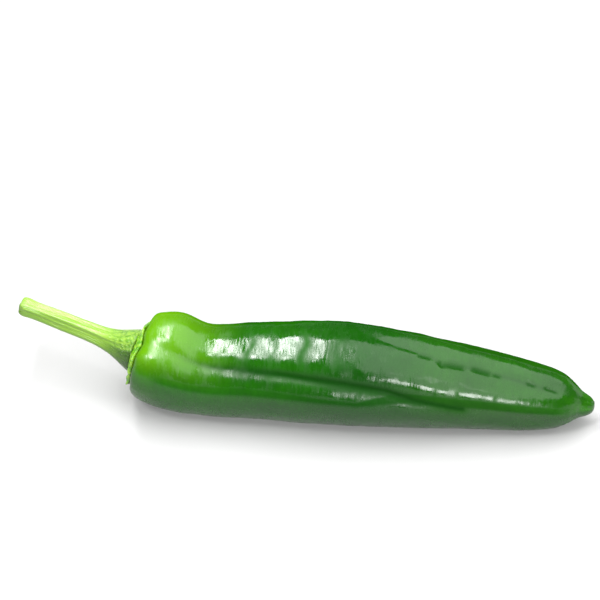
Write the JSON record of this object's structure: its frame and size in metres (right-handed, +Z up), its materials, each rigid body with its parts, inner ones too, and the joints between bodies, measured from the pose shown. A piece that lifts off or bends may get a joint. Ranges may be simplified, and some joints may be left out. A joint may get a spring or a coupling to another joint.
{
  "type": "chilli pepper",
  "caption": "Whole long green chilli pepper lying on its side, with a blunt shoulder, a small pointed tip, a toothed calyx and a ribbed cut stem.",
  "frame": {"origin": "on the surface that the pepper lies on, under the middle of its bounding box", "axes": "+X from the stem's cut end towards the pod's tip, +Z up"},
  "size_m": [0.1346, 0.026, 0.0229],
  "materials": {
    "pod_skin": "gloss",
    "calyx_leaf": "satin",
    "stem_skin": "satin"
  },
  "bodies": {
    "root": {"pod": "pod_skin", "calyx": "calyx_leaf", "stem": "stem_skin"}
  },
  "joints": []
}
